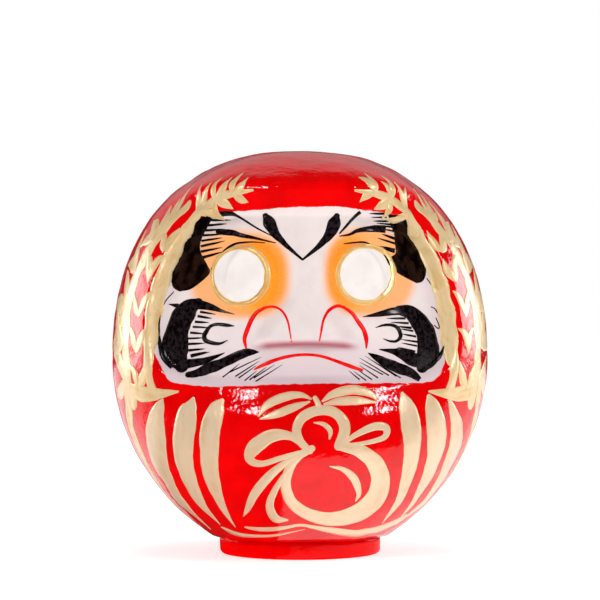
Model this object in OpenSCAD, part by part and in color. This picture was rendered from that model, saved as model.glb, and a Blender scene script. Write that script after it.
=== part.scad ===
// Daruma doll: a hollow paper-pulp shell moulded as a front and a rear half, closed over the
// seam with pasted paper strips, standing on a weighted foot that rights the doll when it is
// tipped. The face is sunk into the front half under a hooded brow.
// The front faces -Y, +Z is up and the origin is the centre of the foot's underside.

/* [Overall size] */
// Height from the table to the crown
doll_h = 238; // [198:1:290]
// Width of the shell at its widest level
body_w = 222; // [185:1:268]
// Height of the widest level above the table
waist_h = 112; // [93:1:135]
// Squareness of the crown's curve, where 2 is an ellipse
crown_power = 2.34; // [2:0.01:2.8]
// Squareness of the belly's curve, where 2 is an ellipse
belly_power = 1.87; // [1.6:0.01:2.2]
// How far the belly fills out at the front, below the face
belly_fill = 5; // [0:0.5:7]

/* [Shell] */
// Thickness of the moulded pulp
shell_wall = 2.8; // [2:0.1:3.6]
// Width of the flat underside that shows around the foot
foot_ledge = 5.5; // [4:0.5:9]
// How far the shell's underside laps inside the foot's wall
web_lap = 6.5; // [4:0.5:9]

/* [Foot] */
// Diameter of the foot
foot_d = 95; // [78:1:115]
// Height of the foot
foot_h = 11; // [8:0.5:14]
// Thickness of the foot's wall
foot_wall = 3; // [2:0.1:4]
// Thickness of the foot's floor
foot_floor = 3; // [2:0.1:4]
// Radius of the foot's lower edge
foot_round = 2.5; // [0.5:0.1:4]
// Width of the rim that the foot stands on
foot_rim = 6; // [5:0.5:9]
// Depth of the pocket for the paper under the foot
paper_pocket = 0.8; // [0.5:0.1:1.5]
// Thickness of the paper under the foot
paper_t = 0.3; // [0.2:0.1:0.5]

/* [Clay weight] */
// Clearance between the clay and the paper pulp around it
clay_gap = 0.5; // [0.3:0.1:1]
// Height of the clay's neck above the shell's underside
clay_neck_h = 10; // [8:0.5:20]
// Height of the clay's dome above its neck
clay_dome_h = 14; // [8:0.5:20]

/* [Seam strips] */
// Width of the pasted strips
strip_w = 18; // [14:1:24]
// Thickness of the pasted strips
strip_t = 0.5; // [0.3:0.1:0.8]
// Height of the side strips' lower ends above the shell's underside
strip_rise = 6; // [3:1:12]
// Length of the strip over the crown, measured straight across
crown_strip_l = 130; // [100:1:150]

/* [Face] */
// Drop from the crown to the face's upper edge
face_drop = 36; // [30:0.5:44]
// Height of the face
face_h = 99; // [83:1:119]
// Angle from the middle of the face to either side at the cheeks
face_angle = 52.6; // [44:0.1:60]
// How much that angle narrows per millimetre above the middle
face_taper = 0.1; // [0:0.01:0.15]
// Width of the steep wall around the face
face_wall_w = 5; // [3:0.5:8]
// Width of the rounded shoulder outside that wall
face_shoulder = 8; // [4:0.5:12]
// Width of the rounder shoulder below the face
chin_shoulder = 30; // [16:0.5:34]
// Depth of the face below the shell at its sides
side_depth = 8; // [5:0.5:10]
// Depth of the face below the shell at the chin
chin_depth = 13.5; // [10:0.5:15]
// How far the face leans back from the chin to the brow
face_lean = 14; // [10:0.5:18]

/* [Features] */
// Distance from the middle of the face to each eye's centre
eye_x = 35.2; // [30:0.1:42]
// Drop from the face's upper edge to the eyes' centres
eye_drop = 38.7; // [33:0.1:46]
// Radius of each raised eye
eye_r = 17.5; // [14:0.1:19]
// Height of each raised eye above the face
eye_rise = 3; // [1.5:0.1:4]
// Height of the underside of the nose above the face's lower edge
nose_base = 21.5; // [16:0.5:26]
// Height of the nose's broad part
nose_h = 26; // [20:0.5:32]
// Half of the width of the nose
nose_half_w = 31; // [24:0.5:36]
// How much narrower each side of the nose is at its top
nose_taper = 14; // [8:0.5:18]
// How far the broad part of the nose stands out
nose_out = 7; // [4:0.1:9]
// How far the bridge of the nose stands out above the broad part
bridge_out = 7; // [4:0.1:9]
// How far the cheeks stand out
cheek_out = 4.5; // [2:0.1:6]
// How far the brows stand out
brow_out = 3; // [1:0.1:4]

/* [Hood] */
// How far the hood's lower edge stands out over the face
hood_edge = 5; // [3:0.5:7]
// How far the hood's ridge stands out
hood_ridge = 17; // [9:0.5:18]
// Height of the ridge above the face's upper edge
hood_ridge_h = 15; // [10:0.5:17]
// Height over which the ridge blends into the crown
hood_fade_h = 24; // [18:0.5:26]

/* [Hidden] */
round_fn = 96;
arc_steps = 10;
cut_size = 2 * (doll_h + body_w);

waist_r = body_w / 2;
foot_r = foot_d / 2;
base_r = foot_r + foot_ledge;
opening_r = foot_r - foot_wall - web_lap;
crown_rise = doll_h - waist_h;
belly_drop = (waist_h - foot_h) / pow(1 - pow(base_r / waist_r, belly_power), 1 / belly_power);
face_top = doll_h - face_drop;
face_bottom = face_top - face_h;
face_mid = face_top - face_h / 2;
eye_z = face_top - eye_drop;
nose_z = face_bottom + nose_base;

// Squareness of the face's outline above and below its middle
brow_power = 4;
chin_power = 5;
// Shallowest that the sunk face ever gets
least_depth = 2;
// How late the shoulder turns into the wall, at the sides and below the face
shoulder_power = 1.8;
chin_shoulder_power = 1.5;
// Height of the belly's fullest place, and how far above and below it the belly fades
belly_fill_z = face_bottom - 37;
belly_fill_h = 16;
// The belly's fill falls from 1 to 0 between these angles from the front
belly_fill_from = 30;
belly_fill_to = 75;
// Falls from 1 to 0 between these angles from the front, so that the hood ends before the seam
hood_angle_from = 25;
hood_angle_to = 70;
// Distance over which the features fade into the face's wall
feature_fade = 8;
// Samples that keep the shell's inside one wall away from its outside: [around, up, inward]
wall_steps = 12;
wall_samples = concat(
    [[0, 0, shell_wall]],
    [
        for (i = [0:wall_steps - 1], tilt = [35, 65, 90])
            shell_wall * [
                cos(360 * i / wall_steps) * sin(tilt),
                sin(360 * i / wall_steps) * sin(tilt),
                cos(tilt)
            ]
    ]
);

// Smooth step from 0 to 1
function blend(t) = let (c = min(1, max(0, t))) c * c * (3 - 2 * c);
function mix(a, b, t) = a + (b - a) * t;
function bell(x, w) = exp(-x * x / (w * w));
// n evenly spaced values from a, up to but not including b
function steps(a, b, n) = [for (i = [0:n - 1]) mix(a, b, i / n)];
// The same, drawn together towards b
function closing_steps(a, b, n) = [for (i = [0:n - 1]) mix(a, b, sin(90 * i / n))];
function reversed(list) = [for (i = [len(list) - 1:-1:0]) list[i]];

// Radius of the plain shell at a height
function curve(t, power) = pow(max(0, 1 - pow(t, power)), 1 / power);
function plain_r(z) = waist_r * (
    z < waist_h
        ? curve((waist_h - z) / belly_drop, belly_power)
        : curve((z - waist_h) / crown_rise, crown_power)
);

// Angle from the middle of the face to its side at a height, held level above and below the face
function side_angle(z) = face_angle - face_taper * min(face_h / 2, max(0, z - face_mid));

// Distance inward from the face's outline, negative outside it
function face_inset(angle, z) =
    let (
        power = z > face_mid ? brow_power : chin_power,
        half_angle = side_angle(z),
        u = abs(angle) / half_angle,
        v = abs(z - face_mid) / (face_h / 2),
        spread = max(0.01, pow(pow(u, power) + pow(v, power), 1 / power)),
        du = pow(u, power - 1) / (half_angle * PI / 180 * waist_r),
        dv = pow(v, power - 1) / (face_h / 2),
        slope = norm([du, dv]) * pow(spread, 1 - power)
    )
    (1 - spread) / max(slope, 0.001);

// How far the brow's hood stands out of the plain shell
function hood_out(angle, z) =
    let (
        above = z - face_top,
        around = 1 - blend((abs(angle) - hood_angle_from) / (hood_angle_to - hood_angle_from)),
        rise = mix(hood_edge, hood_ridge, blend(above / hood_ridge_h)),
        fall = 1 - blend((above - hood_ridge_h + 2) / hood_fade_h)
    )
    rise * fall * around * blend(above / hood_ridge_h + 1);

// How far the front of the belly stands out of the plain shell
function belly_out(angle, z) =
    let (
        around = 1 - blend((abs(angle) - belly_fill_from) / (belly_fill_to - belly_fill_from))
    )
    belly_fill * around * bell(z - belly_fill_z, belly_fill_h);

// Depth of the bare face below the plain shell
function face_depth(angle, z) =
    let (
        up = max(0, (z - face_bottom) / face_h),
        middle_r = waist_r - chin_depth - face_lean * pow(up, 1.5),
        middle = max(least_depth, plain_r(z) - middle_r)
    )
    mix(side_depth, middle, max(0, 1 - pow(angle / face_angle, 2)));

// How far the nose, cheeks, brows and eyes stand out of the bare face
function features_out(angle, z) =
    let (
        x = abs(waist_r * sin(angle)),
        over_lip = blend((z - nose_z) / 4),
        down_nose = min(1, max(0, (face_top - 12 - z) / (face_top - 12 - nose_z))),
        bridge = bridge_out * down_nose * bell(x, 12) * over_lip,
        half_w = nose_half_w - nose_taper * blend((z - nose_z) / nose_h),
        across = 1 - blend((x - half_w + 11) / 16),
        bulb = nose_out * (1 - blend((z - nose_z - nose_h + 18) / 28)) * across * over_lip,
        cheek = cheek_out * bell(abs(angle) - 34, 11) * bell(z - face_bottom - 24, 18),
        brow = brow_out * bell(abs(angle) - 26, 13) * bell(z - face_top + 13, 8),
        eye = eye_rise * (1 - blend((norm([x - eye_x, z - eye_z]) - eye_r + 2) / 4))
    )
    bridge + bulb + cheek + brow + eye;

// Radius of the moulded shell's outside, where angle 0 is the front
function shell_r(angle, z) =
    let (
        inset = face_inset(angle, z),
        below = blend((face_bottom + 10 - z) / 20),
        shoulder = mix(face_shoulder, chin_shoulder, below),
        turn = max(0, (inset + shoulder) / (face_wall_w + shoulder)),
        inside = blend(pow(turn, mix(shoulder_power, chin_shoulder_power, below))),
        features = features_out(angle, z) * blend(inset / feature_fade),
        sunk = plain_r(z) - face_depth(angle, z) + features
    )
    mix(plain_r(z) + hood_out(angle, z) + belly_out(angle, z), sunk, inside);

// Radius of its inside, one wall in from every point of the outside
function shell_inner_r(angle, z) =
    max(0, min([
        for (s = wall_samples)
            shell_r(angle + s[0] / waist_r * 180 / PI, min(doll_h, z + s[1])) - s[2]
    ]));

// Heights of the shell's rows of points, without the crown
function levels(inset) = concat(
    steps(foot_h + inset, face_bottom - 22, 10),
    steps(face_bottom - 22, face_bottom + 8, 13),
    steps(face_bottom + 8, face_top - 6, 12),
    steps(face_top - 6, face_top + 20, 10),
    closing_steps(face_top + 20, doll_h - inset, 5)
);

outer_levels = levels(0);
inner_levels = levels(shell_wall);
rows = len(outer_levels);

// Columns of points run from the front at 0 to the face's side at 1 and the seam at 2
seam = 2;
function column_angle(column, z) =
    let (side = side_angle(z), out = abs(column))
    sign(column) * (out < 1 ? out * side : mix(side, 90, out - 1));

// One cut through the shell's wall, up its outside and back down its inside:
// [radius, height, angle]
function wall_section(column) = concat(
    [[opening_r, foot_h, column_angle(column, foot_h)]],
    [
        for (z = outer_levels)
            let (angle = column_angle(column, z))
            [shell_r(angle, z), z, angle]
    ],
    [[0, doll_h, 0], [0, doll_h - shell_wall, 0]],
    [
        for (z = reversed(inner_levels))
            let (angle = column_angle(column, z))
            [shell_inner_r(angle, z), z, angle]
    ],
    [[opening_r, foot_h + shell_wall, column_angle(column, foot_h)]]
);

half_columns = concat(steps(-seam, -1.12, 6), steps(-1.12, -0.88, 6), steps(-0.88, 0, 13));
columns = concat(half_columns, [0], [for (c = reversed(half_columns)) -c]);
section_len = 2 * rows + 4;

// Point k of column j, where the two points on the axis are shared by all the columns
function on_axis(k) = k == rows + 1 || k == rows + 2;
function point_index(j, k) = on_axis(k) ? k : j * section_len + k;
function is_triangle(t) = t[0] != t[1] && t[1] != t[2] && t[0] != t[2];
function quad(a, b, c, d) = [for (t = [[a, b, c], [a, c, d]]) if (is_triangle(t)) t];

module moulded_half() {
    points = [
        for (column = columns, p = wall_section(column))
            [p[0] * sin(p[2]), -p[0] * cos(p[2]), p[1]]
    ];
    last = len(columns) - 1;
    sides = [
        for (j = [0:last - 1], k = [0:section_len - 1])
            let (next = (k + 1) % section_len)
            each quad(
                point_index(j, k), point_index(j, next),
                point_index(j + 1, next), point_index(j + 1, k)
            )
    ];
    ends = [
        for (k = [0:rows])
            let (back = section_len - 1 - k)
            each concat(
                quad(
                    point_index(0, k), point_index(0, back),
                    point_index(0, back - 1), point_index(0, k + 1)
                ),
                quad(
                    point_index(last, k + 1), point_index(last, back - 1),
                    point_index(last, back), point_index(last, k)
                )
            )
    ];
    polyhedron(points = points, faces = concat(sides, ends), convexity = 6);
}

module front_shell() {
    color("red") moulded_half();
}

module rear_shell() {
    color("firebrick")
        rotate_extrude(angle = 180, $fn = round_fn)
            polygon([for (p = wall_section(seam)) [p[0], p[1]]]);
}

// Point of the plain shell's outline, moved outward by a distance
function outline_point(z, out) =
    let (
        low = max(foot_h, z - 0.1),
        high = min(doll_h, z + 0.1),
        run = [plain_r(high) - plain_r(low), high - low]
    )
    [plain_r(z), z] + out * [run[1], -run[0]] / norm(run);

strip_from = foot_h + strip_rise;
strip_levels = concat([strip_from], [for (z = outer_levels) if (z > strip_from + 1) z]);

// A band of pasted paper all the way over the seam, from one side of the foot to the other
module seam_band() {
    outside = [for (z = strip_levels) outline_point(z, strip_t)];
    inside = [for (z = reversed(strip_levels)) [plain_r(z), z]];
    section = concat(outside, [[0, doll_h + strip_t], [0, doll_h]], inside);
    intersection() {
        rotate_extrude($fn = round_fn) polygon(section);
        cube([cut_size, strip_w, cut_size], center = true);
    }
}

module side_strip(side) {
    intersection() {
        seam_band();
        translate([side * (crown_strip_l + cut_size) / 2, 0, 0])
            cube([cut_size, cut_size, cut_size * 2], center = true);
    }
}

module seam_strip_left() {
    color("indianred") side_strip(-1);
}

module seam_strip_right() {
    color("indianred") side_strip(1);
}

module seam_strip_crown() {
    color("lightcoral")
        intersection() {
            seam_band();
            translate([0, 0, doll_h])
                cube([crown_strip_l, cut_size, crown_strip_l], center = true);
        }
}

pocket_r = foot_r - foot_rim;

module foot_dish() {
    cup_r = foot_r - foot_wall;
    edge = [
        for (i = [0:arc_steps])
            let (a = 90 * i / arc_steps)
            [foot_r - foot_round + foot_round * sin(a), foot_round - foot_round * cos(a)]
    ];
    section = concat(
        [[0, foot_floor], [0, paper_pocket], [pocket_r, paper_pocket], [pocket_r, 0]],
        edge,
        [[foot_r, foot_h], [cup_r, foot_h], [cup_r, foot_floor]]
    );
    color("crimson") rotate_extrude($fn = round_fn) polygon(section);
}

module clay_weight() {
    disc_r = foot_r - foot_wall - clay_gap;
    neck_r = opening_r - clay_gap;
    disc_top = foot_h - clay_gap;
    neck_top = foot_h + clay_neck_h;
    dome = [
        for (i = [0:arc_steps])
            let (a = 90 * i / arc_steps)
            [neck_r * cos(a), neck_top + clay_dome_h * sin(a)]
    ];
    section = concat(
        [[0, foot_floor], [disc_r, foot_floor], [disc_r, disc_top], [neck_r, disc_top]],
        [for (p = dome) [max(0, p[0]), p[1]]]
    );
    color("tan") rotate_extrude($fn = round_fn) polygon(section);
}

module base_paper() {
    color("ivory")
        translate([0, 0, paper_pocket - paper_t])
            cylinder(h = paper_t, r = pocket_r - clay_gap, $fn = round_fn);
}

front_shell();
rear_shell();
seam_strip_left();
seam_strip_right();
seam_strip_crown();
foot_dish();
clay_weight();
base_paper();
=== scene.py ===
"""Daruma doll: the lacquered shell, the sunken painted face and the brushed gold, built on the CAD frame.

Lengths are in millimetres and angles in degrees until a mesh is made. Angle 0 is the doll's front,
which faces -Y, and angles grow towards +X.

Brush strokes are given in one of two ways. In the picture plane, x is to the right and y is the
height, on the upright plane through the doll's axis, as seen from EYE. On the wrap, x is the length
around the waist from the front, and y is the height.
"""

import math
import random

import bpy
import numpy as np
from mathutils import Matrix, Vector, noise
from mathutils.bvhtree import BVHTree


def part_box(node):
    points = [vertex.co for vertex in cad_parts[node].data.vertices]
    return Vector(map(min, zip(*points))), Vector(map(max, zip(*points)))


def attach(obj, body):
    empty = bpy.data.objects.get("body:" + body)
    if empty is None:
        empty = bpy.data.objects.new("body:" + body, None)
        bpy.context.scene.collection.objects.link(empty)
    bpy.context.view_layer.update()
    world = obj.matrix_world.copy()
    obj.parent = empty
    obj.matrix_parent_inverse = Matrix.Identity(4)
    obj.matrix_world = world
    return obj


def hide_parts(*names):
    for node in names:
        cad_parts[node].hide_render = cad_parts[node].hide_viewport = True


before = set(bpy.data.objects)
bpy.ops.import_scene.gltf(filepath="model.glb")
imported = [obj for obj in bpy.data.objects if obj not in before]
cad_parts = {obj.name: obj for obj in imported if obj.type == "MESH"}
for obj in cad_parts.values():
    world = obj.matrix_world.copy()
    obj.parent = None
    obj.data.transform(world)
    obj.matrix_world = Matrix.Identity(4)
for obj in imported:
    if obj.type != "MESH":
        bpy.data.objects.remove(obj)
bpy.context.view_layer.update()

MM = 0.001
random.seed(24)

# ---------------- sizes from the frame
shell_low, shell_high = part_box("rear_shell")
foot_low, foot_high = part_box("foot_dish")
WAIST_R = (shell_high[0] - shell_low[0]) / 2 / MM
DOLL_H = shell_high[2] / MM
FOOT_H = foot_high[2] / MM
FOOT_R = (foot_high[0] - foot_low[0]) / 2 / MM

# The same driving sizes as in the part's source
WAIST_H = 112
CROWN_POWER = 2.34
BELLY_POWER = 1.87
BELLY_FILL = 5
FOOT_LEDGE = 5.5
SHELL_WALL = 2.8
FOOT_WALL = 3
FOOT_FLOOR = 3
FOOT_ROUND = 2.5
FOOT_RIM = 6
PAPER_POCKET = 0.8
STRIP_W = 18
STRIP_T = 0.5
STRIP_RISE = 6
CROWN_STRIP_L = 130
FACE_TOP = DOLL_H - 36
FACE_H = 99
FACE_BOTTOM = FACE_TOP - FACE_H
FACE_MID = FACE_TOP - FACE_H / 2
FACE_ANGLE = 52.6
FACE_TAPER = 0.1
FACE_WALL_W = 5
FACE_SHOULDER = 8
CHIN_SHOULDER = 30
SHOULDER_POWER = 1.8
CHIN_SHOULDER_POWER = 1.5
BELLY_FILL_Z = FACE_BOTTOM - 37
BELLY_FILL_H = 16
BELLY_FILL_ANGLES = (30, 75)
SIDE_DEPTH = 8
CHIN_DEPTH = 13.5
FACE_LEAN = 14
LEAST_DEPTH = 2
EYE_X = 35.2
EYE_Z = FACE_TOP - 38.7
EYE_R = 17.5
EYE_RISE = 3
NOSE_Z = FACE_BOTTOM + 21.5
NOSE_H = 26
NOSE_HALF_W = 31
NOSE_TAPER = 14
NOSE_OUT = 7
BRIDGE_OUT = 7
CHEEK_OUT = 4.5
BROW_OUT = 3
HOOD_EDGE = 5
HOOD_RIDGE = 17
HOOD_RIDGE_H = 15
HOOD_FADE_H = 24
HOOD_ANGLES = (25, 70)
FEATURE_FADE = 8

BASE_R = FOOT_R + FOOT_LEDGE
BELLY_DROP = (WAIST_H - FOOT_H) / (1 - (BASE_R / WAIST_R) ** BELLY_POWER) ** (1 / BELLY_POWER)
CROWN_RISE = DOLL_H - WAIST_H

# The photograph's viewpoint
VIEW_DISTANCE = 1450
VIEW_HEIGHT = 150
VIEW_TURN = -1.5
VIEW_WIDTH = 357.3
SENSOR = 36
turn = math.radians(VIEW_TURN)
EYE = Vector((math.sin(turn) * VIEW_DISTANCE, -math.cos(turn) * VIEW_DISTANCE, VIEW_HEIGHT))


# ---------------- the moulded form
def blend(t):
    """Smooth step from 0 to 1."""
    c = np.clip(t, 0, 1)
    return c * c * (3 - 2 * c)


def mix(a, b, t):
    return a + (b - a) * t


def bell(x, width):
    return np.exp(-(x / width) ** 2)


def curve(t, power):
    return np.maximum(0, 1 - np.clip(t, 0, 1) ** power) ** (1 / power)


def plain_r(z):
    """Radius of the shell without its face."""
    belly = curve((WAIST_H - z) / BELLY_DROP, BELLY_POWER)
    crown = curve((z - WAIST_H) / CROWN_RISE, CROWN_POWER)
    return WAIST_R * np.where(z < WAIST_H, belly, crown)


def side_angle(z):
    """Angle from the middle of the face to its side."""
    return FACE_ANGLE - FACE_TAPER * np.clip(z - FACE_MID, 0, FACE_H / 2)


def face_inset(angle, z):
    """Distance inward from the outline of the sunken face, negative outside it."""
    power = np.where(z > FACE_MID, 4.0, 5.0)
    half_angle = side_angle(z)
    u = np.abs(angle) / half_angle
    v = np.abs(z - FACE_MID) / (FACE_H / 2)
    spread = np.maximum(0.01, (u ** power + v ** power) ** (1 / power))
    du = u ** (power - 1) / (np.radians(half_angle) * WAIST_R)
    dv = v ** (power - 1) / (FACE_H / 2)
    slope = np.hypot(du, dv) * spread ** (1 - power)
    return (1 - spread) / np.maximum(slope, 0.001)


def hood_out(angle, z):
    """How far the brow's hood stands out of the plain shell."""
    above = z - FACE_TOP
    first, last = HOOD_ANGLES
    around = 1 - blend((np.abs(angle) - first) / (last - first))
    rise = mix(HOOD_EDGE, HOOD_RIDGE, blend(above / HOOD_RIDGE_H))
    fall = 1 - blend((above - HOOD_RIDGE_H + 2) / HOOD_FADE_H)
    return rise * fall * around * blend(above / HOOD_RIDGE_H + 1)


def belly_out(angle, z):
    """How far the front of the belly stands out of the plain shell."""
    first, last = BELLY_FILL_ANGLES
    around = 1 - blend((np.abs(angle) - first) / (last - first))
    return BELLY_FILL * around * bell(z - BELLY_FILL_Z, BELLY_FILL_H)


def face_depth(angle, z):
    """Depth of the bare face below the plain shell."""
    up = np.maximum(0, (z - FACE_BOTTOM) / FACE_H)
    middle_r = WAIST_R - CHIN_DEPTH - FACE_LEAN * up ** 1.5
    middle = np.maximum(LEAST_DEPTH, plain_r(z) - middle_r)
    return mix(SIDE_DEPTH, middle, np.maximum(0, 1 - (angle / FACE_ANGLE) ** 2))


def features_out(angle, z):
    """How far the nose, cheeks, brows and eyes stand out of the bare face."""
    x = np.abs(WAIST_R * np.sin(np.radians(angle)))
    over_lip = blend((z - NOSE_Z) / 4)
    down_nose = np.clip((FACE_TOP - 12 - z) / (FACE_TOP - 12 - NOSE_Z), 0, 1)
    bridge = BRIDGE_OUT * down_nose * bell(x, 12) * over_lip
    half_w = NOSE_HALF_W - NOSE_TAPER * blend((z - NOSE_Z) / NOSE_H)
    across = 1 - blend((x - half_w + 11) / 16)
    bulb = NOSE_OUT * (1 - blend((z - NOSE_Z - NOSE_H + 18) / 28)) * across * over_lip
    cheek = CHEEK_OUT * bell(np.abs(angle) - 34, 11) * bell(z - FACE_BOTTOM - 24, 18)
    brow = BROW_OUT * bell(np.abs(angle) - 26, 13) * bell(z - FACE_TOP + 13, 8)
    eye = EYE_RISE * (1 - blend((np.hypot(x - EYE_X, z - EYE_Z) - EYE_R + 2) / 4))
    return bridge + bulb + cheek + brow + eye


def shell_r(angle, z):
    """Radius of the outside of the shell."""
    inset = face_inset(angle, z)
    below = blend((FACE_BOTTOM + 10 - z) / 20)
    shoulder = mix(FACE_SHOULDER, CHIN_SHOULDER, below)
    turned_in = np.maximum(0, (inset + shoulder) / (FACE_WALL_W + shoulder))
    inside = blend(turned_in ** mix(SHOULDER_POWER, CHIN_SHOULDER_POWER, below))
    features = features_out(angle, z) * blend(inset / FEATURE_FADE)
    sunk = plain_r(z) - face_depth(angle, z) + features
    return mix(plain_r(z) + hood_out(angle, z) + belly_out(angle, z), sunk, inside)


# ---------------- meshes
def steps(first, last, count):
    """count even steps from first, up to but not including last."""
    return [first + (last - first) * i / count for i in range(count)]


def closing_steps(first, last, count):
    """The same, drawn together towards last."""
    return [mix(first, last, math.sin(math.pi / 2 * i / count)) for i in range(count)]


def pulp_lumps(points, lumps):
    """Height of the uneven pulp at each point: lumps is a list of (wavelength, height)."""
    heights = np.zeros(len(points))
    for wave, height in lumps:
        heights += [height * noise.noise(Vector(p) / wave) for p in points]
    return heights


def to_object(name, verts, faces, values=None):
    """A smooth mesh object from millimetre points. values holds numbers for each point, by name."""
    mesh = bpy.data.meshes.new(name)
    mesh.from_pydata((np.asarray(verts) * MM).tolist(), [], faces)
    for key, numbers in (values or {}).items():
        mesh.attributes.new(key, "FLOAT", "POINT").data.foreach_set("value", numbers)
    mesh.polygons.foreach_set("use_smooth", [True] * len(mesh.polygons))
    obj = bpy.data.objects.new(name, mesh)
    bpy.context.scene.collection.objects.link(obj)
    return obj


def finish_piece(obj, coat, slot, *stands_for):
    """Give a piece its material and its place on the frame. The slot argument is not used."""
    obj.data.materials.append(coat)
    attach(obj, "root")
    if stands_for:
        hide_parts(*stands_for)


def grid_faces(rows, columns, first=0, flip=False):
    """Quads of a grid of points stored row by row."""
    faces = []
    for i in range(rows - 1):
        for j in range(columns - 1):
            a = first + i * columns + j
            quad = (a, a + 1, a + columns + 1, a + columns)
            faces.append(quad[::-1] if flip else quad)
    return faces


def slab_faces(rows, columns, first=0):
    """Quads of a closed slab: a grid, then its copy behind it, joined around the edge."""
    second = first + rows * columns
    faces = grid_faces(rows, columns, first) + grid_faces(rows, columns, second, flip=True)
    bottom = [first + j for j in range(columns)]
    top = [first + (rows - 1) * columns + j for j in range(columns)]
    left = [first + i * columns for i in range(rows)]
    right = [first + i * columns + columns - 1 for i in range(rows)]
    for edge in (bottom, right, top[::-1], left[::-1]):
        for a, b in zip(edge, edge[1:]):
            faces.append((a, a + rows * columns, b + rows * columns, b))
    return faces


def unit(vectors):
    """An array of vectors, each scaled to a length of 1."""
    return vectors / np.maximum(np.linalg.norm(vectors, axis=-1, keepdims=True), 1e-9)


def grid_normals(grid):
    """Unit normals of a grid of points [row, column], pointing along d/dcolumn x d/drow."""
    return unit(np.cross(np.gradient(grid, axis=1), np.gradient(grid, axis=0)))


def lathe(profile, turns):
    """Points and faces of a closed profile [(radius, height)] turned about the axis."""
    verts = []
    for i in range(turns):
        a = 2 * math.pi * i / turns
        verts += [(r * math.cos(a), r * math.sin(a), z) for r, z in profile]
    count = len(profile)
    faces = []
    for i in range(turns):
        for j in range(count):
            a, b = i * count + j, i * count + (j + 1) % count
            c, d = (i + 1) % turns * count + (j + 1) % count, (i + 1) % turns * count + j
            faces.append((a, d, c, b))
    return np.array(verts), faces


# ---------------- the two half shells
SEAM = 2
# Wavelengths and heights of the lumps, and how much of them the face keeps
LUMPS = [(26, 0.45), (11, 0.26), (5.5, 0.1)]
FACE_LUMPS = 0.3
APEX_GAP = 0.004
LEVELS = np.array(
    steps(FOOT_H, FACE_BOTTOM - 18, 40)
    + steps(FACE_BOTTOM - 18, FACE_BOTTOM + 10, 30)
    + steps(FACE_BOTTOM + 10, FACE_TOP - 12, 62)
    + steps(FACE_TOP - 12, FACE_TOP + 22, 38)
    + closing_steps(FACE_TOP + 22, DOLL_H, 20)
    + [DOLL_H - APEX_GAP]
)


def column_angles(columns, z):
    """Angle of each column: the front at 0, the side of the face at 1 and the seam at 2."""
    side = side_angle(z)
    out = np.abs(columns)
    return np.sign(columns) * np.where(out < 1, out * side, mix(side, 90, out - 1))


def shell_grid(columns, turned):
    """Outer points of one half of the shell, [level, column]."""
    rows = []
    for z in LEVELS:
        angles = column_angles(columns, z)
        radius = plain_r(z) + 0 * angles if turned else shell_r(angles, z)
        around = np.radians(angles + (180 if turned else 0))
        rows.append(np.stack([radius * np.sin(around), -radius * np.cos(around), z + 0 * angles], 1))
    return np.array(rows)


def half_shell(columns, turned=False):
    """Points and faces of a closed half shell, with lumps in its outside."""
    grid = shell_grid(np.array(columns), turned)
    normals = grid_normals(grid).reshape(-1, 3)
    flat = grid.reshape(-1, 3)
    lumps = pulp_lumps(flat, LUMPS)
    if not turned:
        angle = np.degrees(np.arctan2(flat[:, 0], -flat[:, 1]))
        lumps *= mix(1.0, FACE_LUMPS, blend(face_inset(angle, flat[:, 2]) / 6))
    lumps *= np.clip((DOLL_H - flat[:, 2]) / 1.5, 0, 1)
    outer = flat + normals * lumps[:, None]
    inner = flat - normals * SHELL_WALL
    keep = np.maximum if turned else np.minimum
    outer[:, 1] = keep(outer[:, 1], 0)
    inner[:, 1] = keep(inner[:, 1], 0)
    rows, count = grid.shape[:2]
    return np.vstack([outer, inner]), slab_faces(rows, count), grid_faces(rows, count)


# The front's columns are closest together beside the face, where its walls are
FRONT_BANDS = [(-SEAM, -1.3, 16), (-1.3, -0.7, 44), (-0.7, 0.7, 108), (0.7, 1.3, 44), (1.3, SEAM, 16)]
front_columns = [column for band in FRONT_BANDS for column in steps(*band)] + [SEAM]
front_points, front_faces, front_skin = half_shell(front_columns)
rear_points, rear_faces, rear_skin = half_shell(steps(-SEAM, SEAM, 150) + [SEAM], turned=True)

front_tree = BVHTree.FromPolygons(front_points.tolist(), front_skin)
rear_tree = BVHTree.FromPolygons(rear_points.tolist(), rear_skin)


# ---------------- paths on the shell
def spline(points, gap):
    """Smooth curve through points of any size, as evenly spaced samples about gap apart."""
    p = np.array(points, float)
    p = np.vstack([2 * p[0] - p[1], p, 2 * p[-1] - p[-2]])
    samples = []
    for a, b, c, d in zip(p, p[1:], p[2:], p[3:]):
        count = max(2, math.ceil(np.linalg.norm((c - b)[:2]) / gap))
        for t in steps(0, 1, count):
            smooth = 2 * b + (c - a) * t + (2 * a - 5 * b + 4 * c - d) * t ** 2
            samples.append((smooth + (3 * b - a - 3 * c + d) * t ** 3) / 2)
    return np.array(samples + [p[-2]])


def first_hit(half, start, way, reach, near):
    """Point and normal where a ray meets a half shell, or else those nearest to near."""
    spot, normal = half.ray_cast(start, way, reach)[:2]
    return (spot, normal) if spot else half.find_nearest(near)[:2]


def drape_view(x, y):
    """Point and normal of the shell where it shows at a point of the picture plane."""
    aim = (Vector((x, 0, y)) - EYE).normalized()
    return first_hit(front_tree, EYE, aim, 2 * VIEW_DISTANCE, (x, -WAIST_R / 2, y))


def drape_wrap(x, y):
    """Point and normal of the shell at a point of the wrap."""
    angle = x / WAIST_R
    out = Vector((math.sin(angle), -math.cos(angle), 0))
    axis = Vector((0, 0, y))
    half = front_tree if out.y < 0 else rear_tree
    return first_hit(half, out * 2 * WAIST_R + axis, -out, 2 * WAIST_R, out * WAIST_R + axis)


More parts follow.
